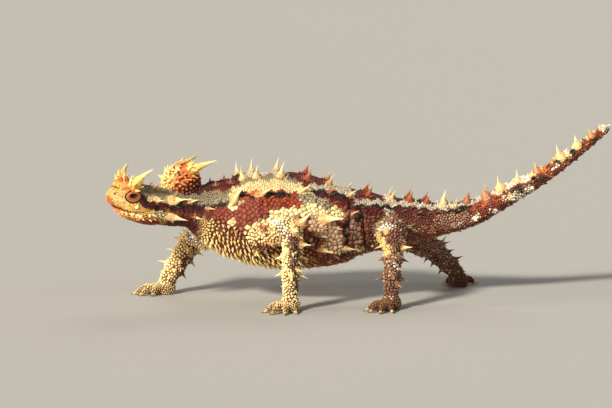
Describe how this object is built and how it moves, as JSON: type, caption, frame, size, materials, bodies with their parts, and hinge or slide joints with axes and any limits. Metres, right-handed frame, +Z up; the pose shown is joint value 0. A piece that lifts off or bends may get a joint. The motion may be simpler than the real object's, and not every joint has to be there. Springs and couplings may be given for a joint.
{
  "type": "thorny devil lizard, life-size still model",
  "caption": "Spiny desert lizard in mid stride, head low and tail raised, as a life-size still model that stands on its feet.",
  "frame": {"origin": "on the ground, below the middle of the model's box", "axes": "+X from the head to the raised tail, +Z up, the animal's left side towards -Y"},
  "size_m": [0.1652, 0.0712, 0.0581],
  "materials": {
    "skin_head": "matte",
    "skin_trunk": "matte",
    "skin_tail": "matte",
    "skin_limb": "matte",
    "skin_knob": "matte",
    "horn": "satin",
    "eye": "gloss"
  },
  "bodies": {
    "root": {"head": "skin_head", "neck": "skin_trunk", "torso": "skin_trunk", "hips": "skin_trunk", "tail_base": "skin_tail", "tail_middle": "skin_tail", "tail_tip": "skin_tail", "eye_left": "eye", "eye_right": "eye", "brow_horn_left": "horn", "brow_horn_right": "horn", "knob_horn_left": "horn", "knob_horn_right": "horn", "nape_knob": "skin_knob", "upper_arm_left": "skin_limb", "forearm_left": "skin_limb", "hand_left": "skin_limb", "upper_arm_right": "skin_limb", "forearm_right": "skin_limb", "hand_right": "skin_limb", "thigh_left": "skin_limb", "shank_left": "skin_limb", "foot_left": "skin_limb", "thigh_right": "skin_limb", "shank_right": "skin_limb", "foot_right": "skin_limb"}
  },
  "joints": []
}
